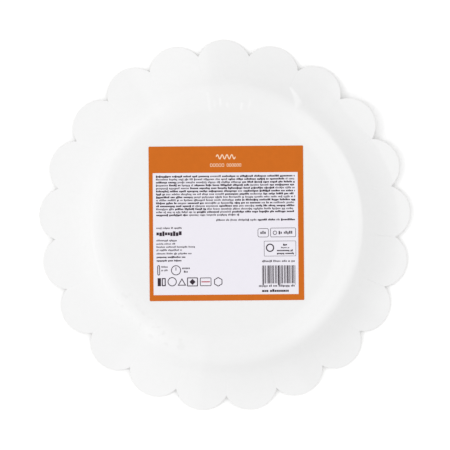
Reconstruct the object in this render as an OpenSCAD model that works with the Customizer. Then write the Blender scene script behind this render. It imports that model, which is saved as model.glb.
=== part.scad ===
// Scalloped paper plate, pressed from one sheet of board, with a printed sticker on its underside.
// It lies face down: Z = 0 is the plane that its rim rests on, and +Z points out of its underside.
// The tip of one scallop points along +Y, which is also the sticker's top edge.

/* [Plate] */
// Diameter over the tips of the scallops
plate_d = 180; // [175:1:240]
// Height from the rim's resting plane to the top of the foot ring
plate_h = 14; // [10:0.5:17]
// Thickness of the pressed board
board_t = 0.45; // [0.3:0.05:0.8]

/* [Scallops] */
// Number of scallops round the rim
scallop_n = 21; // [14:1:32]
// Depth of the notch between two scallops, measured inwards from their tips
notch_depth = 7.5; // [4:0.25:9]
// Length of the pressed crease that runs inwards from each notch
crease_l = 12; // [6:0.5:14]
// Width of that crease at the notch
crease_w = 1.1; // [0.6:0.1:2]
// Depth to which the crease is pressed into the underside
crease_depth = 0.15; // [0.05:0.05:0.25]

/* [Foot ring] */
// Diameter of the corner where the foot ring turns down into the wall
foot_d = 132; // [127:0.2:137]
// Width of the foot ring's top
foot_w = 6.6; // [5:0.1:7]
// Width of the slope from the flat middle up to the foot ring
foot_slope_w = 4.6; // [3.5:0.1:5]
// Height of the foot ring above the flat middle
foot_rise = 0.6; // [0.4:0.1:0.8]
// Radius of the two soft bends beside that slope
foot_bend_r = 8; // [3:0.5:8]

/* [Wall and rim] */
// Slope of the wall between the foot ring and the rim, in degrees
wall_a = 50; // [48:1:60]
// Radius of the bend from the foot ring into the wall
knee_r = 7; // [2:0.5:7.5]
// Radius of the long sweep from the wall out to the level rim
rim_sweep_r = 22; // [14:1:24]

/* [Sticker] */
// Least gap between the square sticker's corners and the slope up to the foot ring
label_gap = 0.3; // [0.2:0.01:12]
// Thickness of the sticker's paper
label_t = 0.12; // [0.08:0.01:0.2]
// Radius of the sticker's corners
label_corner_r = 0.5; // [0.3:0.1:3]
// Shift of the sticker to the right of the plate's axis
label_x = 0.7; // [-2:0.1:2]
// Shift of the sticker up from the plate's axis
label_y = 1.1; // [-2:0.1:2]
// Height of the coloured band along the sticker's top edge
band_h = 12.8; // [8:0.1:20]
// Width of the coloured border at the left
border_left = 1.9; // [1:0.1:5]
// Width of the coloured border at the right
border_right = 2.7; // [1:0.1:5]
// Width of the coloured border at the bottom
border_bottom = 2.9; // [1:0.1:5]
// Thickness of the coloured print on the sticker
print_t = 0.05; // [0.03:0.01:0.1]

/* [Hidden] */

tip_r = plate_d / 2;
notch_r = tip_r - notch_depth;
foot_r = foot_d / 2;
half_pitch = 180 / scallop_n;

// Each scallop is an arc through its tip and the notches on both sides of it
scallop_at = (tip_r * tip_r - notch_r * notch_r) / (2 * (tip_r - notch_r * cos(half_pitch)));
scallop_r = tip_r - scallop_at;

// Heights of the board's mid surface
foot_mid_z = plate_h - board_t / 2;
flat_mid_z = foot_mid_z - foot_rise;
rim_mid_z = board_t / 2;
wall_run = (foot_mid_z - rim_mid_z) / tan(wall_a);

// How far cutting shapes reach past what they cut
spare = 1;

// The flat middle, where the sticker is: the height of its upper face, and its radius out to
// the first bend
flat_top_z = flat_mid_z + board_t / 2;
foot_slope_a = atan(foot_rise / foot_slope_w);
flat_r = foot_r - foot_w - foot_slope_w - foot_bend_r * tan(foot_slope_a / 2);

// Side of the square sticker, as large as the flat middle takes at the sticker's shift and gap
label_side = sqrt(2) * (flat_r - label_gap - norm([label_x, label_y]));

// Corners of the section's mid line as radius, height and radius of the bend
section_start = [0, flat_mid_z];
section_corners = [
    [foot_r - foot_w - foot_slope_w, flat_mid_z, foot_bend_r],
    [foot_r - foot_w, foot_mid_z, foot_bend_r],
    [foot_r, foot_mid_z, knee_r],
    [foot_r + wall_run, rim_mid_z, rim_sweep_r]
];
section_end = [tip_r + spare, rim_mid_z];

// Degrees of turn between two points of a bend
bend_step = 4;

// Faces round a full turn of the plate, and round a scallop's circle
turn_fn = 168;
scallop_fn = 72;

function xy(p) = [p[0], p[1]];
function heading(a, b) = atan2(b[1] - a[1], b[0] - a[0]);
function along(h) = [cos(h), sin(h)];
function left_of(h) = [-sin(h), cos(h)];

// Points of one bend of the mid line, each as [point, normal towards the underside]
function bend(before, corner, after) =
    let (
        h0 = heading(before, corner),
        h1 = heading(corner, after),
        turn = h1 - h0,
        side = sign(turn),
        r = corner[2],
        first = xy(corner) - r * tan(abs(turn) / 2) * along(h0),
        centre = first + side * r * left_of(h0),
        n = ceil(abs(turn) / bend_step)
    )
    [for (i = [0 : n]) let (h = h0 + turn * i / n) [centre - side * r * left_of(h), left_of(h)]];

function section_point(i) =
    i < 0 ? section_start
    : i >= len(section_corners) ? section_end
    : section_corners[i];

mid_line = concat(
    [[section_start, [0, 1]]],
    [
        for (i = [0 : len(section_corners) - 1])
            each bend(section_point(i - 1), section_point(i), section_point(i + 1))
    ],
    [[section_end, [0, 1]]]
);

// One skin of the section, at a distance from the mid line
function skin(d) = [for (p = mid_line) p[0] + d * p[1]];
function backwards(list) = [for (i = [len(list) - 1 : -1 : 0]) list[i]];

// A turned shell between two distances from the mid surface
module pressed_shell(lower, upper) {
    rotate_extrude($fn = turn_fn)
        polygon(concat(skin(lower), backwards(skin(upper))));
}

module scalloped_outline() {
    circle(r = scallop_at, $fn = turn_fn);
    for (i = [0 : scallop_n - 1])
        rotate(90 + i * 360 / scallop_n)
            translate([scallop_at, 0])
                circle(r = scallop_r, $fn = scallop_fn);
}

// Slender wedges, seen from above, that narrow inwards from the notches
module crease_wedges() {
    for (i = [0 : scallop_n - 1])
        rotate(90 + (i + 0.5) * 360 / scallop_n)
            polygon([
                [notch_r - crease_l, 0],
                [notch_r + spare, -crease_w / 2],
                [notch_r + spare, crease_w / 2]
            ]);
}

module upright(height) {
    translate([0, 0, -spare])
        linear_extrude(height + 2 * spare)
            children();
}

// Pressed board, cut to the scalloped outline, with each crease sunk on the underside and
// raised by as much on the eating side
module plate() {
    color("white")
        intersection() {
            upright(plate_h) scalloped_outline();
            difference() {
                union() {
                    pressed_shell(-board_t / 2, board_t / 2);
                    intersection() {
                        pressed_shell(-board_t / 2 - crease_depth, 0);
                        upright(plate_h) crease_wedges();
                    }
                }
                intersection() {
                    pressed_shell(board_t / 2 - crease_depth, board_t / 2 + crease_depth);
                    upright(plate_h) crease_wedges();
                }
            }
        }
}

// The sticker's outline, with its lower left corner at the origin
module label_outline() {
    r = label_corner_r;
    translate([r, 0]) square([label_side - 2 * r, label_side]);
    translate([0, r]) square([label_side, label_side - 2 * r]);
    for (x = [r, label_side - r], y = [r, label_side - r])
        translate([x, y]) circle(r = r, $fn = 24);
}

// Places the sticker's lower left corner, with its paper lying on the flat middle
module on_flat_middle(lift) {
    translate([label_x - label_side / 2, label_y - label_side / 2, flat_top_z + lift])
        children();
}

// Self-adhesive paper sticker
module label() {
    color([0.93, 0.92, 0.95])
        on_flat_middle(0)
            linear_extrude(label_t)
                label_outline();
}

// Coloured border printed on the sticker, wide along the top edge
module label_border() {
    color([0.81, 0.43, 0.16])
        on_flat_middle(label_t)
            linear_extrude(print_t)
                difference() {
                    label_outline();
                    translate([border_left, border_bottom])
                        square([
                            label_side - border_left - border_right,
                            label_side - border_bottom - band_h
                        ]);
                }
}

plate();
label();
label_border();
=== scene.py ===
"""The looks of a scalloped paper plate that lies face down, with a printed sticker on its underside.

Lengths are in millimetres up to the point where a mesh is made, which turns them to metres.
"""

import math
import random

import bmesh
import bpy
import numpy as np
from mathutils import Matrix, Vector
from mathutils.geometry import tessellate_polygon


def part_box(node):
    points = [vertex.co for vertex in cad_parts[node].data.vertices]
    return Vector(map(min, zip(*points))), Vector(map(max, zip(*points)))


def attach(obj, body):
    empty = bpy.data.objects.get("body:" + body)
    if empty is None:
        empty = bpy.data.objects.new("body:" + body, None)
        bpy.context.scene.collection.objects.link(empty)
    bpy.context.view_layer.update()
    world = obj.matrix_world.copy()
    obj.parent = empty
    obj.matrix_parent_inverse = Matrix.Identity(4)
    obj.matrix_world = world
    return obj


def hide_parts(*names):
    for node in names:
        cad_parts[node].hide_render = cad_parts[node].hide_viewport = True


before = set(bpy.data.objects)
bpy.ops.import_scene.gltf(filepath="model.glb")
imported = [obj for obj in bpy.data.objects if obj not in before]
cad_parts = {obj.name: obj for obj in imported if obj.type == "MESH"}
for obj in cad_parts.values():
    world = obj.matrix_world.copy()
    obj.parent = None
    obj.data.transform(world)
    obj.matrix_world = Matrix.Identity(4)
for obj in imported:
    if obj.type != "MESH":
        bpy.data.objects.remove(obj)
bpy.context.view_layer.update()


# Plate: one sheet of white paperboard of about 350 g/m2. It is die cut to 21 scallops, scored at
# the notches between them, and pressed between heated dies, which leave the flat middle as it was
# and burnish the foot ring, the wall and the rim. Part of how bright these look is painted sheen.

MM = 0.001
plate_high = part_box("plate")[1]
tip_r = plate_high.y / MM
plate_h = plate_high.z / MM
board_t = 0.45

scallop_n = 21
notch_depth = 7.5
notch_r = tip_r - notch_depth
half_pitch = math.pi / scallop_n
scallop_at = (tip_r**2 - notch_r**2) / (2 * (tip_r - notch_r * math.cos(half_pitch)))
scallop_r = tip_r - scallop_at

# Heights of the section's mid line, radii of its corners, and radii of the bends there
foot_rise = 0.6
foot_mid_z = plate_h - board_t / 2
flat_mid_z = foot_mid_z - foot_rise
rim_mid_z = board_t / 2
foot_r = 66
foot_w = 6.6
foot_slope_w = 4.6
foot_in_r = foot_r - foot_w
flat_end_r = foot_in_r - foot_slope_w
wall_slope = math.radians(50)
wall_run = (foot_mid_z - rim_mid_z) / math.tan(wall_slope)
foot_bend_r = 8
soft_knee_r = 7
crisp_knee_r = 1.5
rim_sweep_r = 22


def section_corners(knee_r):
    """Corners of the section's mid line, each as radius, height and bend radius."""
    return [
        (0, flat_mid_z, 0),
        (flat_end_r, flat_mid_z, foot_bend_r),
        (foot_in_r, foot_mid_z, foot_bend_r),
        (foot_r, foot_mid_z, knee_r),
        (foot_r + wall_run, rim_mid_z, rim_sweep_r),
        (tip_r + 1, rim_mid_z, 0),
    ]


def rounded_line(corners, step):
    """The mid line as radii and heights, with a point at each step of turn in its bends."""
    line = [corners[0][:2]]
    for before, corner, after in zip(corners, corners[1:], corners[2:]):
        corner_r, corner_z, bend_r = corner
        into = math.atan2(corner_z - before[1], corner_r - before[0])
        out = math.atan2(after[1] - corner_z, after[0] - corner_r)
        turn = out - into
        side = math.copysign(1, turn)
        reach = bend_r * math.tan(abs(turn) / 2)
        centre_r = corner_r - reach * math.cos(into) - side * bend_r * math.sin(into)
        centre_z = corner_z - reach * math.sin(into) + side * bend_r * math.cos(into)
        count = math.ceil(abs(turn) / step)
        for heading in np.linspace(into, out, count + 1):
            bend_point_r = centre_r + side * bend_r * math.sin(heading)
            bend_point_z = centre_z - side * bend_r * math.cos(heading)
            line.append((bend_point_r, bend_point_z))
    line.append(corners[-1][:2])
    return np.array(line).T


# The section with the usual soft knee, and with a crisp one, both drawn finely to read heights from
fine_step = math.radians(0.25)
soft_r, soft_z = rounded_line(section_corners(soft_knee_r), fine_step)
crisp_r, crisp_z = rounded_line(section_corners(crisp_knee_r), fine_step)

# Rings of the mesh: the bends of the section, and a few more across its straight stretches
ring_step = math.radians(2.5)
bend_ring_r = rounded_line(section_corners(soft_knee_r), ring_step)[0][1:-1]
straight_r = [*range(9, 54, 9), 56.2, 57.4, 60.7, 61.7, 68.9, 69.8, 88.2, 89, 89.6]
edge_round = 0.06
ring_r = np.unique([*bend_ring_r, *straight_r, tip_r - edge_round])

# Directions of the mesh, in turns of half a pitch from the top. They lie closer together towards
# the notches, and there are more of them where the wrinkles and the fold are.
half_steps = 14
crowding = 1.6
to_notch = 1 - (np.arange(half_steps + 1) / half_steps) ** crowding
lobe_turns = np.unique([*to_notch, *-to_notch])[1:]
even_turns = (2 * np.arange(scallop_n)[:, None] + lobe_turns).ravel()
over_wrinkles = np.arange(-9.2, 14, 0.5)
over_fold = np.arange(24.2, 34, 0.5)
close_turns = -np.radians([*over_wrinkles, *over_fold]) / half_pitch
least_gap = 0.02
gap = np.abs((close_turns[:, None] - lobe_turns + 1) % 2 - 1).min(axis=1)
turns = np.unique(np.array([*even_turns, *close_turns[gap > least_gap]]) % (2 * scallop_n))
lobe_of = np.round(turns / 2).astype(int) % scallop_n
offsets = (turns - 2 * np.round(turns / 2)) * half_pitch
angles = math.pi / 2 + turns * half_pitch
azimuth = (90 - np.degrees(angles)) % 360

# Rings outside this radius bend gradually from a circle to the scalloped edge
round_r = 69.5
edge_r = scallop_at * np.cos(offsets) + np.sqrt(scallop_r**2 - (scallop_at * np.sin(offsets)) ** 2)
share = np.clip((ring_r - round_r) / (tip_r - round_r), 0, 1)[:, None]
radius = np.where(share > 0, round_r + share * (edge_r - round_r), ring_r[:, None])


def nearness_to(bearing, spread):
    """1 at an azimuth, falling off over the spread to either side of it, both in degrees."""
    return np.exp(-(((azimuth - bearing) / spread) ** 2))


# The press pulled the board hardest at the upper right and at the left. There the knee of the wall
# is crisper. At the upper right it leaves the wall less steep, and at the left it lies further in.
pull_right = nearness_to(68, 34)
pull_left = nearness_to(262, 32)
knee_shift = 2
shifted_r = [57, 62, 68, 84]

# The rim bows up a little from the foot of the wall, and more at the upper right
bow_start_r = 69
bow_skew = 1.3
rim_bow = 0.9
slack_bow = 1.7 * nearness_to(50, 26)


def pressed_height(radius):
    """Heights of the board's middle at radii in each direction, before creases and knocks.

    The rim is bowed, so that its outer part still falls towards the tips."""
    section_r = radius + knee_shift * pull_left * np.interp(radius, shifted_r, [0, 1, 1, 0])
    soft = np.interp(section_r, soft_r, soft_z)
    crisp = np.interp(section_r, crisp_r, crisp_z)
    past_wall = np.clip((radius - bow_start_r) / (tip_r - bow_start_r), 0, 1)
    past_knee = np.clip((radius - foot_r) / (tip_r - foot_r), 0, 1)
    pulled = soft + np.maximum(pull_right, pull_left) * (crisp - soft)
    bowed = rim_bow * np.sin(math.pi * past_wall**bow_skew) + slack_bow * np.sin(math.pi * past_knee)
    return pulled + bowed


height = pressed_height(radius)

# Scored crease at each notch, which is full deep after a third of its length, and the shallow
# valley where the board is gathered beside it. The pull at the right makes two creases deep, and
# lets the tips level off early.
crease_l = 12
crease_in_r = notch_r - crease_l
crease_half_w = 0.5
crease_start_share = 0.35
crease_depth = 0.08 + 0.2 * nearness_to(102, 14)
gather_w = 2.4
gather_depth = 0.1
from_notch = (half_pitch - np.abs(offsets)) * radius
outward = np.clip((radius - crease_in_r) / (notch_r - crease_in_r), 0, 1)
crease_w = crease_half_w * (crease_start_share + (1 - crease_start_share) * outward)
deepening = np.clip(outward * 3, 0, 1)
crease = crease_depth * deepening * np.clip(1 - from_notch / crease_w, 0, 1)
gather = gather_depth * outward**2 * np.exp(-((from_notch / gather_w) ** 2))
level_r = 83.5 - 3.5 * nearness_to(50, 12)
level_early = 1.1 * nearness_to(69, 30)
drop_past_level = np.clip(pressed_height(level_r) - height, 0, None)
height += level_early * np.where(radius > level_r, drop_past_level, 0)
height -= crease + gather

# The press closed a little off the middle of the blank, so the well lies off the rim's axis
well_at = np.array([0.3, 0.5])
well_end_r = 69
rim_start_r = 86
in_well = np.interp(radius, [well_end_r, rim_start_r], [1, 0])[:, :, None]
plan = np.stack([radius * np.cos(angles), radius * np.sin(angles)], axis=2) + in_well * well_at

# Wrinkles that the dies pinched into the foot ring at the top: the azimuth, inner radius, outer
# radius and strength of each
from_top = (azimuth + 180) % 360 - 180
wrinkle_w = 0.55
wrinkle_depth = 0.12
wrinkle_fade = 1
wrinkles = np.zeros(radius.shape)
for at, inner_r, outer_r, strength in [
    (-7.4, 55.6, 63.6, 0.6),
    (-5, 57.4, 59.2, 0.5),
    (-2.1, 57.8, 60.5, 0.9),
    (1.2, 57.2, 58.3, 0.8),
    (8, 56.5, 58.8, 1),
    (11.6, 57.6, 60.6, 0.5),
]:
    ends = [inner_r - wrinkle_fade, inner_r, outer_r, outer_r + wrinkle_fade]
    groove = np.exp(-((np.radians(from_top - at) * radius / wrinkle_w) ** 2))
    wrinkles = np.maximum(wrinkles, strength * groove * np.interp(radius, ends, [0, 1, 1, 0]))
height -= wrinkle_depth * wrinkles

# A fold from a knock on the shoulder at the upper right. It starts as a line on the wall and widens
# to a facet that leans to the left, up to a crest that is bent a little.
fold_at = [34.6, 63.25]
fold_along = [0.594, -0.804]
fold_across = [0.804, 0.594]
fold_start = -4.6
fold_end = 6.8
fold_run_out = 2.6
crest_bend = 0.025
facet_mid_w = 2
facet_least_w = 0.1
facet_widening = 0.4
facet_slope = 0.1
behind_crest_w = 5
down_fold = (plan - fold_at) @ fold_along
past_crest = (plan - fold_at) @ fold_across + crest_bend * down_fold**2
starting = np.clip(down_fold - fold_start, 0, 1)
fold_ends = starting * np.clip((fold_end - down_fold) / fold_run_out, 0, 1)
facet_w = np.maximum(facet_mid_w + facet_widening * down_fold, facet_least_w)
facet = np.clip(1 + past_crest / facet_w, 0, 1)
behind_crest = np.clip(1 - past_crest / behind_crest_w, 0, 1)
height += facet_slope * facet_w * facet * behind_crest * fold_ends

# How far the underside is painted with a highlight: along the wrinkles, and on the fold over most of
# its facet and just past the crest, where it leans to the lamp
wrinkle_highlight = 0.8
facet_contrast = 3
crest_w = 0.9
on_facet = np.clip(facet_contrast * facet, 0, 1)
fold_highlight = on_facet * np.clip(1 - past_crest / crest_w, 0, 1) * fold_ends
highlight_share = np.maximum(wrinkle_highlight * wrinkles, fold_highlight)

# The tips spring back off the plane that the rim rests on, each by a little more or less
board_rng = np.random.default_rng(7)
tip_spring = 0.15
land_r = 85
tip_lift = tip_spring * board_rng.uniform(0.2, 1, scallop_n)[lobe_of]
past_land = np.clip((radius - land_r) / (tip_r - land_r), 0, 1)
height += tip_lift * past_land**2
height = np.clip(height, rim_mid_z, foot_mid_z)


def surface_normals(points):
    """Unit normals of a closed grid of rings, from the directions along and across its rings."""
    outwards = np.gradient(points, axis=0)
    around = np.roll(points, -1, axis=1) - np.roll(points, 1, axis=1)
    normals = np.cross(outwards, around)
    return normals / np.linalg.norm(normals, axis=2, keepdims=True)


mid = np.concatenate([plan, height[:, :, None]], axis=2)
normals = surface_normals(mid)
upper = mid + normals * board_t / 2
lower = mid - normals * board_t / 2

# Cut edge: the knife rounds both arrises, so rows of points lead from skin to skin
edge_around = np.roll(mid[-1], -1, axis=0) - np.roll(mid[-1], 1, axis=0)
edge_out = np.cross(edge_around, normals[-1])
edge_out /= np.linalg.norm(edge_out, axis=1, keepdims=True)
edge_rows = [
    mid[-1] + edge_out * edge_round * out + normals[-1] * board_t / 2 * up
    for out, up in [(0.7, 0.93), (1, 0.75), (1, -0.75), (0.7, -0.93)]
]
rows = np.array([*upper, *edge_rows, *lower[::-1]])


def mesh_object(name, points, faces):
    """A new object in the scene, from points in millimetres."""
    mesh = bpy.data.meshes.new(name)
    mesh.from_pydata((np.asarray(points) * MM).tolist(), [], faces)
    mesh.validate()
    piece = bpy.data.objects.new(name, mesh)
    bpy.context.scene.collection.objects.link(piece)
    return piece


row_n, around_n = rows.shape[:2]
index = np.arange(row_n * around_n).reshape(row_n, around_n)
following = np.roll(index, -1, axis=1)
quads = np.stack([index[:-1], index[1:], following[1:], following[:-1]], axis=-1)
top_pole = row_n * around_n
bottom_pole = top_pole + 1
fans = [[top_pole, a, b] for a, b in zip(index[0].tolist(), following[0].tolist())]
fans += [[bottom_pole, b, a] for a, b in zip(index[-1].tolist(), following[-1].tolist())]
poles = [(0, 0, flat_mid_z + board_t / 2), (0, 0, flat_mid_z - board_t / 2)]
plate = mesh_object(
    "plate_board",
    [*rows.reshape(-1, 3), *poles],
    quads.reshape(-1, 4).tolist() + fans,
)
plate.data.polygons.foreach_set("use_smooth", [True] * len(plate.data.polygons))

# Which of the plate's three finishes each face has: rows from the underside over the cut edge to
# the eating side, then the two fans in the middle
on_underside, on_cut_edge, on_eating_side = range(3)
ring_n = len(ring_r)
finish_of_row = [on_underside] * (ring_n - 1)
finish_of_row += [on_cut_edge] * (len(edge_rows) + 1)
finish_of_row += [on_eating_side] * (ring_n - 1)
finishes = np.repeat(finish_of_row, around_n).tolist()
finishes += [on_underside] * around_n + [on_eating_side] * around_n
plate.data.polygons.foreach_set("material_index", finishes)

# The underside's rows of points come first, so its painted highlight fills the front of the attribute
highlight_by_point = np.zeros(len(plate.data.vertices))
highlight_by_point[: highlight_share.size] = highlight_share.ravel()
plate.data.attributes.new("painted_highlight", "FLOAT", "POINT").data.foreach_set("value", highlight_by_point)


def linear(hex_colour):
    """An sRGB hex colour as linear red, green, blue and alpha."""
    channels = [int(hex_colour[i : i + 2], 16) / 255 for i in (1, 3, 5)]
    return [c / 12.92 if c <= 0.04045 else ((c + 0.055) / 1.055) ** 2.4 for c in channels] + [1]


def socket_of(sockets, key):
    """The socket with that name, or at that place among the ones in use."""
    in_use = [s for s in sockets if s.enabled]
    return in_use[key] if isinstance(key, int) else next(s for s in in_use if s.name == key)


def add_node(tree, kind, inputs=None, output=0, **settings):
    """Adds a node with its settings and inputs, each a value or a link, and returns one output."""
    node = tree.nodes.new(kind)
    for name, value in settings.items():
        setattr(node, name, value)
    for key, value in (inputs or {}).items():
        socket = socket_of(node.inputs, key)
        if isinstance(value, bpy.types.NodeSocket):
            tree.links.new(value, socket)
        else:
            socket.default_value = value
    return socket_of(node.outputs, output) if node.outputs else None


def new_material(name):
    """A material with an empty node tree."""
    material = bpy.data.materials.new(name)
    material.use_nodes = True
    material.node_tree.nodes.clear()
    return material


def paper_finish(material, tone, clouds, fibres, roughness, ior_level):
    """Paper with cloudy formation in its tone, and a felt of fibres in its surface.

    The tone is a colour or a socket. The clouds are a size in mm and the share by which they
    darken the tone at most. The fibres are a size and a height, both in mm."""
    cloud_mm, cloud_depth = clouds
    fibre_mm, fibre_height = fibres
    tree = material.node_tree
    place = add_node(tree, "ShaderNodeTexCoord", output="Object")
    cloudiness = add_node(
        tree,
        "ShaderNodeTexNoise",
        {"Vector": place, "Scale": 1 / (cloud_mm * MM), "Detail": 3, "Roughness": 0.6},
    )
    shade = add_node(
        tree,
        "ShaderNodeMapRange",
        {
            "Value": cloudiness,
            "From Min": 0.3,
            "From Max": 0.7,
            "To Min": 1 - cloud_depth,
            "To Max": 1,
        },
    )
    colour = add_node(
        tree,
        "ShaderNodeMix",
        {"Factor": 1, "A": tone, "B": shade},
        data_type="RGBA",
        blend_type="MULTIPLY",
    )
    felt = add_node(
        tree,
        "ShaderNodeTexNoise",
        {"Vector": place, "Scale": 1 / (fibre_mm * MM), "Detail": 4, "Distortion": 1.2},
    )
    normal = add_node(
        tree,
        "ShaderNodeBump",
        {"Height": felt, "Strength": 1, "Distance": fibre_height * MM},
    )
    shader = add_node(
        tree,
        "ShaderNodeBsdfPrincipled",
        {
            "Base Color": colour,
            "Roughness": roughness,
            "IOR": 1.5,
            "Specular IOR Level": ior_level,
            "Normal": normal,
        },
    )
    add_node(tree, "ShaderNodeOutputMaterial", {"Surface": shader})


# Radius that the ramps of tone end at
ramp_end_r = 100


def tone_by_radius(tree, radius_share, stops):
    """Grey that follows the distance from the axis, from stops of radius in mm and sRGB level."""
    ramp = tree.nodes.new("ShaderNodeValToRGB")
    ramp.color_ramp.interpolation = "EASE"
    points = ramp.color_ramp.elements
    while len(points) < len(stops):
        points.new(1)
    for point, (stop_r, level) in zip(points, stops):
        point.position = stop_r / ramp_end_r
        point.color = linear("#" + f"{level:02X}" * 3)
    tree.links.new(radius_share, ramp.inputs["Fac"])
    return ramp.outputs["Color"]


# Bleached board, underside: machine smooth and matt. The wall and rim are a little brighter than the
# flat middle, partly pressed board and partly painted sheen. The foot ring is painted brighter at the
# left and right as a sheen, and its knee most at the left, as a painted highlight on the side that
# faces the lamp. The fibres are drawn at 0.6 mm, coarser than real ones, to show.
underside = new_material("bleached_board_underside")
tree = underside.node_tree
place = add_node(tree, "ShaderNodeTexCoord", output="Object")
flattened = add_node(
    tree,
    "ShaderNodeVectorMath",
    {0: place, 1: (1, 1, 0), 2: (-well_at[0] * MM, -well_at[1] * MM, 0)},
    operation="MULTIPLY_ADD",
)
from_axis = add_node(tree, "ShaderNodeVectorMath", {0: flattened}, operation="LENGTH")
radius_share = add_node(
    tree, "ShaderNodeMath", {0: from_axis, 1: ramp_end_r * MM}, operation="DIVIDE"
)
direction = add_node(tree, "ShaderNodeVectorMath", {0: flattened}, operation="NORMALIZE")
direction_x = add_node(tree, "ShaderNodeSeparateXYZ", {"Vector": direction}, output="X")
sideways = add_node(tree, "ShaderNodeMath", {0: direction_x}, operation="ABSOLUTE")
# 1 at the left and right sides, where the foot ring is painted with sheen
toward_the_sides = add_node(
    tree,
    "ShaderNodeMapRange",
    {"Value": sideways, "From Min": 0.3, "From Max": 0.67},
    interpolation_type="SMOOTHSTEP",
)
# At the top and bottom: wall and rim a little brighter, partly pressed board and partly painted sheen
top_and_bottom_tone = tone_by_radius(
    tree, radius_share, [(52, 0xF2), (57, 0xF3), (65, 0xF3), (68, 0xF4), (80, 0xF4), (88, 0xF5)]
)
# At the right: painted sheen on the foot ring
right_sheen_tone = tone_by_radius(
    tree,
    radius_share,
    [(52, 0xF2), (57, 0xF5), (60, 0xF6), (63, 0xF7), (68, 0xF5), (80, 0xF5), (86, 0xF6)],
)
# At the left: painted sheen on the foot ring, a painted highlight on its knee, which faces the lamp,
# and the wall beyond painted a little darker than at the right
left_sheen_and_highlight_tone = tone_by_radius(
    tree,
    radius_share,
    [(52, 0xF2), (57, 0xF5), (60, 0xF6), (63, 0xF9), (66, 0xF6), (74, 0xF4), (86, 0xF5)],
)
leftness = add_node(
    tree,
    "ShaderNodeMapRange",
    {"Value": direction_x, "From Min": 0.3, "From Max": -0.3},
    interpolation_type="SMOOTHSTEP",
)
# Painted sheen and highlight at the sides, blended from the right's tone to the left's
side_sheen_tone = add_node(
    tree, "ShaderNodeMix", {"Factor": leftness, "A": right_sheen_tone, "B": left_sheen_and_highlight_tone}, data_type="RGBA"
)
pressed_and_sheen_tone = add_node(
    tree,
    "ShaderNodeMix",
    {"Factor": toward_the_sides, "A": top_and_bottom_tone, "B": side_sheen_tone},
    data_type="RGBA",
)


def part_of_plate(middle, half_width):
    """1 near an azimuth in degrees, clockwise from the top, and 0 past its half width."""
    bearing = math.radians(middle)
    alignment = add_node(
        tree,
        "ShaderNodeVectorMath",
        {0: direction, 1: (math.sin(bearing), math.cos(bearing), 0)},
        operation="DOT_PRODUCT",
    )
    return add_node(
        tree,
        "ShaderNodeMapRange",
        {
            "Value": alignment,
            "From Min": math.cos(math.radians(half_width)),
            "From Max": math.cos(math.radians(0.7 * half_width)),
        },
        interpolation_type="SMOOTHSTEP",
    )


# Painted light and shade in stretches around the plate: two stretches of the rim are painted darker,
# as shade, and two stretches that take in the wall as well are painted brighter, as more light
rim_only = tone_by_radius(tree, radius_share, [(68, 0), (76, 0xFF)])
wall_and_rim = tone_by_radius(tree, radius_share, [(54, 0), (58, 0xFF)])
shaded_stretches = add_node(
    tree,
    "ShaderNodeMath",
    {0: part_of_plate(17, 24), 1: part_of_plate(137, 20)},
    operation="MAXIMUM",
)
lit_stretches = add_node(
    tree,
    "ShaderNodeMath",
    {0: part_of_plate(341, 15), 1: part_of_plate(204, 17)},
    operation="MAXIMUM",
)
painted_rim_shade = add_node(tree, "ShaderNodeMath", {0: shaded_stretches, 1: rim_only}, operation="MULTIPLY")
painted_wall_and_rim_light = add_node(
    tree, "ShaderNodeMath", {0: lit_stretches, 1: wall_and_rim}, operation="MULTIPLY"
)
painted_light_and_shade = add_node(tree, "ShaderNodeMath", {0: painted_wall_and_rim_light, 1: painted_rim_shade}, operation="SUBTRACT")
light_and_shade_share = add_node(
    tree,
    "ShaderNodeMapRange",
    {"Value": painted_light_and_shade, "From Min": -1, "From Max": 1, "To Min": 0.977, "To Max": 1.02},
)
patch_lit_tone = add_node(
    tree,
    "ShaderNodeMix",
    {"Factor": 1, "A": pressed_and_sheen_tone, "B": light_and_shade_share},
    data_type="RGBA",
    blend_type="MULTIPLY",
)

# Spots on the foot ring at the lower left, where its brighter tone with painted sheen gives way to the
# grey of the flat middle
spot_size = 4
foot_ring = tone_by_radius(tree, radius_share, [(54, 0), (58, 0xFF), (64, 0xFF), (66, 0)])
spot_noise = add_node(
    tree, "ShaderNodeTexNoise", {"Vector": flattened, "Scale": 1 / (spot_size * MM), "Detail": 1}
)
spots = add_node(
    tree,
    "ShaderNodeMapRange",
    {"Value": spot_noise, "From Min": 0.54, "From Max": 0.68},
    interpolation_type="SMOOTHSTEP",
)
spotted_ring = add_node(
    tree, "ShaderNodeMath", {0: foot_ring, 1: part_of_plate(217, 25)}, operation="MULTIPLY"
)
spot_share = add_node(tree, "ShaderNodeMath", {0: spots, 1: spotted_ring}, operation="MULTIPLY")
spotted_tone = add_node(
    tree,
    "ShaderNodeMix",
    {"Factor": spot_share, "A": patch_lit_tone, "B": linear("#F2F2F2")},
    data_type="RGBA",
)

# Painted highlights along the wrinkles and on the fold's facet
highlight_mask = add_node(tree, "ShaderNodeAttribute", output="Fac", attribute_name="painted_highlight")
highlighted_tone = add_node(
    tree,
    "ShaderNodeMix",
    {"Factor": highlight_mask, "A": spotted_tone, "B": linear("#FCFCFC")},
    data_type="RGBA",
)
paper_finish(
    underside,
    highlighted_tone,
    clouds=(3, 0.012),
    fibres=(0.6, 0.008),
    roughness=0.6,
    ior_level=0.12,
)

# Cut board: the knife leaves grey-cream fibres that catch no light
cut_edge = new_material("cut_board_edge")
paper_finish(
    cut_edge,
    linear("#EDEBE6"),
    clouds=(0.8, 0.06),
    fibres=(0.25, 0.03),
    roughness=0.9,
    ior_level=0.1,
)

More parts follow.
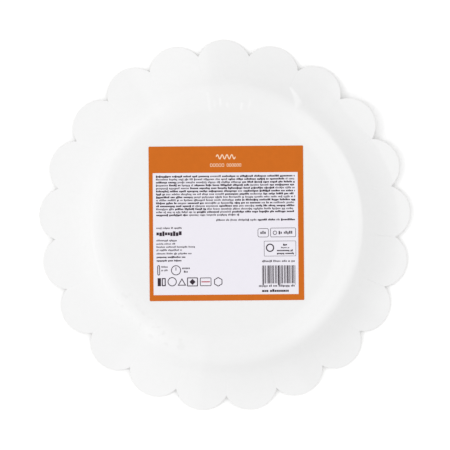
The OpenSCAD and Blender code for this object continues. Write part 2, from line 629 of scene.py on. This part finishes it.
# Coated and varnished board, eating side: clay coat under a clear varnish, smooth, soft gloss
eating_side = new_material("varnished_board_eating_side")
paper_finish(
    eating_side,
    linear("#F5F5F4"),
    clouds=(5, 0.008),
    fibres=(1.2, 0.006),
    roughness=0.32,
    ior_level=0.5,
)

for finish in (underside, cut_edge, eating_side):
    plate.data.materials.append(finish)
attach(plate, "root")
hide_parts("plate")


# Sticker: self-adhesive label paper, die cut square with slightly rounded corners and rubbed down
# on the flat middle. Its white shows wherever it isn't printed.

label_low, label_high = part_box("label")
label_left = label_low.x / MM
label_top = label_high.y / MM
label_side = (label_high.x - label_low.x) / MM
label_corner_r = 0.5


def rounded_box(left, top, width, height, corner_r, steps=6):
    """Outline of a box with round corners, in mm from the sticker's left and top edges."""
    right, bottom = left + width, top + height
    centres = [
        (right - corner_r, top + corner_r, -90),
        (right - corner_r, bottom - corner_r, 0),
        (left + corner_r, bottom - corner_r, 90),
        (left + corner_r, top + corner_r, 180),
    ]
    outline = []
    for centre_u, centre_v, start in centres:
        for step in range(steps + 1):
            turn = math.radians(start + 90 * step / steps)
            outline.append((centre_u + corner_r * math.cos(turn), centre_v + corner_r * math.sin(turn)))
    return outline


def flat_solids(name, shapes, low, high):
    """One piece of closed flat solids between two heights in metres.

    A shape is a list of loops, its outline and then its holes, with each point given in mm from
    the sticker's left and top edges. The faces are laid one by one, so that they are in the same
    order at each run."""
    solids = bmesh.new()
    for loops in shapes:
        placed = [[Vector((label_left + u, label_top - v, 0)) for u, v in loop] for loop in loops]
        corners = [(point.x * MM, point.y * MM) for loop in placed for point in loop]
        lower = [solids.verts.new((x, y, low)) for x, y in corners]
        upper = [solids.verts.new((x, y, high)) for x, y in corners]
        triangles = tessellate_polygon(placed)
        for triangle in triangles:
            solids.faces.new([lower[i] for i in triangle])
            solids.faces.new([upper[i] for i in triangle])
        edges = [sorted((triangle[i - 1], triangle[i])) for triangle in triangles for i in range(3)]
        for a, b in edges:
            if edges.count([a, b]) == 1:
                solids.faces.new((lower[a], lower[b], upper[b], upper[a]))
    bmesh.ops.recalc_face_normals(solids, faces=solids.faces[:])
    mesh = bpy.data.meshes.new(name)
    solids.to_mesh(mesh)
    solids.free()
    piece = bpy.data.objects.new(name, mesh)
    bpy.context.scene.collection.objects.link(piece)
    return piece


sticker_outline = rounded_box(0, 0, label_side, label_side, label_corner_r)
sticker = flat_solids("sticker_paper", [[sticker_outline]], label_low.z, label_high.z)

# Label paper: machine coated, even and matt, a cool white with a trace of violet brightener
label_paper = new_material("matt_label_paper")
paper_finish(
    label_paper,
    linear("#EFECF4"),
    clouds=(4, 0.01),
    fibres=(0.5, 0.01),
    roughness=0.55,
    ior_level=0.3,
)
sticker.data.materials.append(label_paper)
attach(sticker, "root")
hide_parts("label")


# Sticker's border: a solid of orange offset ink, printed out to the cut edge so that no white is
# left there, and wide along the top, where it carries the ornament.

border_low, border_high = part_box("label_border")
band_h = 12.8
border_left = 1.9
border_right = 2.7
border_bottom = 2.9
panel_corner_r = 0.05
panel = rounded_box(
    border_left,
    band_h,
    label_side - border_left - border_right,
    label_side - band_h - border_bottom,
    panel_corner_r,
    steps=1,
)
border = flat_solids("sticker_border", [[sticker_outline, panel]], border_low.z, border_high.z)

# Orange offset ink: a thin even film, a little mottled where the paper took it unevenly
orange_ink = new_material("orange_offset_ink")
paper_finish(
    orange_ink,
    linear("#D26D1C"),
    clouds=(2.5, 0.05),
    fibres=(0.5, 0.008),
    roughness=0.5,
    ior_level=0.12,
)
border.data.materials.append(orange_ink)
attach(border, "root")
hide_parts("label_border")


# Small print: dark offset ink in rows, boxes and plain signs. Every word is a row of blank blocks,
# and every sign a plain figure, so that it has the grey of print and says nothing.

ink_t = 0.02 * MM
print_rng = random.Random(11)

# Pitch of the letters as a share of their height, and their widths and gaps as shares of the pitch
letter_pitch = 1.15
letter_w = (0.5, 0.78)
bold_w = 1.18
light_w = 0.8
bold_gap = 0.14
light_gap = 0.26
word_gap = 0.6

# Letters that reach up or down from the small ones, as shares of their height, and how often the
# weight changes
rises = [0, 0, 0, 0.38]
drops = [0, 0, 0, 0, 0.3]
weight_change = 0.22


def block(left, top, width, height):
    """A shape that is one plain rectangle."""
    right, bottom = left + width, top + height
    return [[(left, top), (right, top), (right, bottom), (left, bottom)]]


def blank_words(left, right, middle, letter_h, bold=None):
    """Blocks in place of the words of one row, with the middle of its small letters given.

    Without a weight, the words change at random between bold and light."""
    shapes = []
    u = left
    heavy = print_rng.random() < 0.5 if bold is None else bold
    pitch = letter_pitch * letter_h
    while u < right - 0.5 * pitch:
        letters = print_rng.randint(2, 10)
        if bold is None and print_rng.random() < weight_change:
            heavy = not heavy
        for _ in range(letters):
            width = pitch * print_rng.uniform(*letter_w) * (bold_w if heavy else light_w)
            if u + width > right:
                break
            rise = print_rng.choice(rises)
            drop = print_rng.choice(drops)
            shapes.append(
                block(u, middle - letter_h * (0.5 + rise), width, letter_h * (1 + rise + drop))
            )
            u += width + pitch * (bold_gap if heavy else light_gap)
        u += word_gap * pitch
    return shapes


def polygon(centre_u, centre_v, radius, sides, turn=0):
    """Outline of a regular polygon, or of a circle if it has many sides."""
    return [
        (
            centre_u + radius * math.sin(turn + 2 * math.pi * i / sides),
            centre_v - radius * math.cos(turn + 2 * math.pi * i / sides),
        )
        for i in range(sides)
    ]


def line_box(left, top, width, height, corner_r, line_w):
    """A shape that is the outline of a round-cornered box, drawn with a line of that width."""
    inner_r = max(corner_r - line_w, panel_corner_r)
    inner_w = width - 2 * line_w
    inner_h = height - 2 * line_w
    return [
        rounded_box(left, top, width, height, corner_r),
        rounded_box(left + line_w, top + line_w, inner_w, inner_h, inner_r),
    ]


def ring(centre_u, centre_v, radius, line_w, sides=40):
    """A shape that is the outline of a circle or regular polygon, drawn with that width."""
    return [
        polygon(centre_u, centre_v, radius, sides),
        polygon(centre_u, centre_v, radius - line_w, sides),
    ]


# The close rows of the main text, of which the last is shorter, then a short one at the right
print_left = 3.5
print_right = 70.6
last_row_right = 43.9
close_row_n = 14
row_pitch = 1.43
first_row_middle = 14.6
row_letter_h = 0.66
words = []
for row in range(close_row_n):
    row_right = last_row_right if row == close_row_n - 1 else print_right
    words += blank_words(print_left, row_right, first_row_middle + row * row_pitch, row_letter_h)
words += blank_words(32.4, print_right, 35.7, row_letter_h)

# The address rows at the left: right end, middle, letter height, and whether the row is bold
address_rows = [
    (16.1, 39.4, 0.6, False),
    (17.0, 42.1, 1.35, True),
    (13.5, 45.4, 0.6, False),
    (12.9, 47.0, 0.55, False),
    (22.1, 48.5, 0.6, False),
    (16.0, 50.0, 0.6, False),
    (20.4, 51.7, 0.6, False),
    (17.7, 53.4, 0.6, True),
    (16.0, 55.1, 0.6, True),
]
for row_right, middle, letter_h, bold in address_rows:
    words += blank_words(print_left, row_right, middle, letter_h, bold)

# The short rows beside the signs, and those of the right-hand column: left end, right end, middle,
# letter height, and whether the row is bold
short_rows = [
    (5.8, 9.1, 58.1, 0.6, False),
    (5.8, 9.1, 59.7, 0.6, False),
    (15.8, 19.6, 58.8, 0.75, False),
    (16.6, 18.8, 60.5, 0.75, False),
    (53.6, 56.4, 42.0, 1.1, False),
    (62.4, 69.0, 42.0, 1.0, False),
    (64.5, 66.6, 47.8, 0.6, True),
    (63.5, 68.0, 49.2, 0.5, False),
    (61.5, 69.8, 50.6, 0.6, True),
    (61.5, 69.8, 52.0, 0.6, True),
    (54.3, 70.2, 55.7, 0.7, False),
    (52.7, 69.9, 67.6, 0.75, False),
    (54.2, 67.6, 70.0, 0.95, True),
]
for row_left, row_right, middle, letter_h, bold in short_rows:
    words += blank_words(row_left, row_right, middle, letter_h, bold)

# Plain signs: boxes, rings and bars, from the right-hand column down to the row at the lower left
signs = [
    line_box(52.3, 39.8, 5.3, 4.3, 0.9, 0.24),
    line_box(58.4, 39.6, 12.3, 4.5, 0.6, 0.24),
    line_box(55.3, 45.9, 15.4, 7.4, 0.4, 0.18),
    ring(60.6, 42.0, 1.0, 0.3),
    ring(58.2, 49.2, 2.0, 0.55),
    line_box(3.8, 57.2, 1.3, 4.9, 0.6, 0.38),
    ring(12.8, 59.7, 2.4, 0.38),
    block(12.6, 58.3, 0.35, 1.5),
    block(3.9, 63.4, 1.6, 3.9),
    line_box(5.9, 63.4, 1.9, 3.9, 0.2, 0.5),
    ring(10.9, 65.2, 2.2, 0.4),
    ring(15.6, 65.9, 2.4, 0.8, sides=3),
    line_box(18.1, 63.2, 5.2, 4.3, 0.3, 0.42),
    [polygon(20.7, 65.35, 1.5, 4)],
    line_box(24.3, 63.3, 5.5, 4.1, 0.5, 0.34),
    ring(33.1, 65.4, 2.3, 0.45, sides=6),
]

# Stripes in a plain rhythm of widths and gaps, which encodes nothing. Two long ones start each
# group of 14.
stripe_module = 0.165
stripe_widths = (1, 3, 1, 2, 1, 1, 4, 2)
stripe_gaps = (1, 2, 1, 3, 1, 1, 2)
stripes_top = 57.7
stripes_right = 70.3
stripe_h = 8.7
long_stripe_h = 9.4
group_n = 14
long_n = 2
stripe_u = 54.3
stripe_i = 0
while stripe_u < stripes_right:
    width = stripe_widths[stripe_i % len(stripe_widths)] * stripe_module
    is_long = stripe_i % group_n < long_n
    signs.append(block(stripe_u, stripes_top, width, long_stripe_h if is_long else stripe_h))
    stripe_u += width + stripe_gaps[stripe_i % len(stripe_gaps)] * stripe_module
    stripe_i += 1

small_print = flat_solids("sticker_words", words, label_high.z, label_high.z + ink_t)
small_signs = flat_solids("sticker_signs", signs, label_high.z, label_high.z + ink_t)

# Dark offset ink: a warm near-black that the paper's fibres break up slightly
dark_ink = new_material("dark_offset_ink")
paper_finish(
    dark_ink,
    linear("#382D38"),
    clouds=(0.9, 0.2),
    fibres=(0.4, 0.006),
    roughness=0.5,
    ior_level=0.15,
)
for piece in (small_print, small_signs):
    piece.data.materials.append(dark_ink)
    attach(piece, "root")

# Red offset ink: a flat, cool red, in one thin bar in the empty box
red_bar = flat_solids(
    "sticker_red_bar", [block(25, 65.1, 4.1, 0.5)], label_high.z, label_high.z + ink_t
)
red_ink = new_material("red_offset_ink")
paper_finish(
    red_ink,
    linear("#B8324A"),
    clouds=(0.9, 0.1),
    fibres=(0.4, 0.006),
    roughness=0.5,
    ior_level=0.15,
)
red_bar.data.materials.append(red_ink)
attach(red_bar, "root")


# Ornament on the orange band: a wave over two groups of plain links, left unprinted so that the
# label paper shows through the orange as a warm white.


def ribbon(points, width):
    """Outline of a line of that width along the points.

    Where the line bends more tightly than its width allows, the inner side would run back over
    itself. Its corners there come too near to the line, and are left out."""
    half_w = width / 2
    nearest_allowed = 0.98 * half_w
    sides = ([], [])
    for i, (u, v) in enumerate(points):
        before = points[max(i - 1, 0)]
        after = points[min(i + 1, len(points) - 1)]
        run, rise = after[0] - before[0], after[1] - before[1]
        length = math.hypot(run, rise)
        across_u, across_v = -rise / length * half_w, run / length * half_w
        for side, sign in zip(sides, (1, -1)):
            corner = (u + sign * across_u, v + sign * across_v)
            if min(math.dist(corner, point) for point in points) > nearest_allowed:
                side.append(corner)
    return sides[0] + sides[1][::-1]


wave_left = 32.6
wave_w = 9.2
wave_middle = 5.2
wave_h = 1.0
wave_crests = 4
wave_steps = 96
wave_line_w = 0.46
wave = [
    (
        wave_left + wave_w * i / wave_steps,
        wave_middle - wave_h * math.sin(2 * math.pi * wave_crests * i / wave_steps),
    )
    for i in range(wave_steps + 1)
]
ornament_shapes = [[ribbon(wave, wave_line_w)]]

# The groups of links: left end, number of links and their pitch
link_top = 8.4
link_h = 1.6
link_gap = 0.2
link_corner_r = 0.5
link_line_w = 0.22
for group_left, link_n, link_pitch in [(29.6, 5, 1.4), (37.6, 6, 1.2)]:
    for i in range(link_n):
        link_left = group_left + i * link_pitch
        link_w = link_pitch - link_gap
        ornament_shapes.append(
            line_box(link_left, link_top, link_w, link_h, link_corner_r, link_line_w)
        )
ornament = flat_solids(
    "sticker_ornament", ornament_shapes, border_high.z, border_high.z + ink_t
)

# Label paper seen through a trace of the orange around it
tinted_paper = new_material("tinted_label_paper")
paper_finish(
    tinted_paper,
    linear("#FBDDBE"),
    clouds=(2, 0.02),
    fibres=(0.5, 0.008),
    roughness=0.55,
    ior_level=0.2,
)
ornament.data.materials.append(tinted_paper)
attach(ornament, "root")


# Studio: a wide white table, an even white surround and one broad soft lamp from the left, which
# lies low enough for the wall of the plate to have a lit side and a shaded one.

table_half_w = 4000
table_corners = [(-1, -1, 0), (1, -1, 0), (1, 1, 0), (-1, 1, 0)]
table = mesh_object("studio_table", np.array(table_corners) * table_half_w, [(0, 1, 2, 3)])
table_white = new_material("white_table")


def seen_directly(tree):
    """1 for what the camera sees itself, in a reflection or through glass, and otherwise 0."""
    rays = tree.nodes.new("ShaderNodeLightPath")
    either = add_node(
        tree,
        "ShaderNodeMath",
        {0: rays.outputs["Is Camera Ray"], 1: rays.outputs["Is Glossy Ray"]},
        operation="MAXIMUM",
    )
    return add_node(
        tree,
        "ShaderNodeMath",
        {0: either, 1: rays.outputs["Is Transmission Ray"]},
        operation="MAXIMUM",
    )


# White paint. The last of its white is a glow that is only seen, and lights nothing.
tree = table_white.node_tree
glow_share = 0.25
glow_strength = add_node(
    tree, "ShaderNodeMath", {0: seen_directly(tree), 1: glow_share}, operation="MULTIPLY"
)
paint = add_node(tree, "ShaderNodeBsdfDiffuse", {"Color": linear("#EBEBEB")})
glow = add_node(tree, "ShaderNodeEmission", {"Strength": glow_strength})
whole = add_node(tree, "ShaderNodeAddShader", {0: paint, 1: glow})
add_node(tree, "ShaderNodeOutputMaterial", {"Surface": whole})
table.data.materials.append(table_white)

# The lamp gives its share of the light on a level surface, and the surround the rest
lamp_share = 0.14
lamp_height = math.radians(38)
lamp_azimuth = math.radians(275)
lamp_spread = math.radians(16)

surround = bpy.data.worlds.new("white_surround")
bpy.context.scene.world = surround
surround.use_nodes = True
tree = surround.node_tree
tree.nodes.clear()
white = (1, 1, 1, 1)
even_strength = 1 - lamp_share * math.sin(lamp_height)
even_light = add_node(tree, "ShaderNodeBackground", {"Color": white, "Strength": even_strength})
backdrop = add_node(tree, "ShaderNodeBackground", {"Color": white, "Strength": 1})
either = add_node(
    tree, "ShaderNodeMixShader", {0: seen_directly(tree), 1: even_light, 2: backdrop}
)
add_node(tree, "ShaderNodeOutputWorld", {"Surface": either})

lamp = bpy.data.objects.new("soft_lamp", bpy.data.lights.new("soft_lamp", "SUN"))
bpy.context.scene.collection.objects.link(lamp)
lamp.data.energy = lamp_share * math.pi
lamp.data.angle = lamp_spread
lamp_from = Vector(
    (
        math.sin(lamp_azimuth) * math.cos(lamp_height),
        math.cos(lamp_azimuth) * math.cos(lamp_height),
        math.sin(lamp_height),
    )
)
lamp.rotation_mode = "QUATERNION"
lamp.rotation_quaternion = lamp_from.to_track_quat("Z", "Y")

# The camera looks straight down on the underside. It is turned a trace, because the plate lies
# 0.47 degrees anticlockwise in the frame.
frame_px = 450
px_mm = 0.4844
plate_turn = math.radians(0.47)
frame_middle_x = 0.03
frame_middle_y = 0.29
camera_height = 2500
sensor_w = 36
camera = bpy.data.objects.new("camera", bpy.data.cameras.new("camera"))
bpy.context.scene.collection.objects.link(camera)
camera.data.sensor_width = sensor_w
camera.data.lens = sensor_w * camera_height / (frame_px * px_mm)
camera.location = (frame_middle_x * MM, frame_middle_y * MM, camera_height * MM)
camera.rotation_euler = (0, 0, -plate_turn)
camera.data.clip_end = 20
bpy.context.scene.camera = camera

bpy.context.scene.view_settings.view_transform = "Standard"
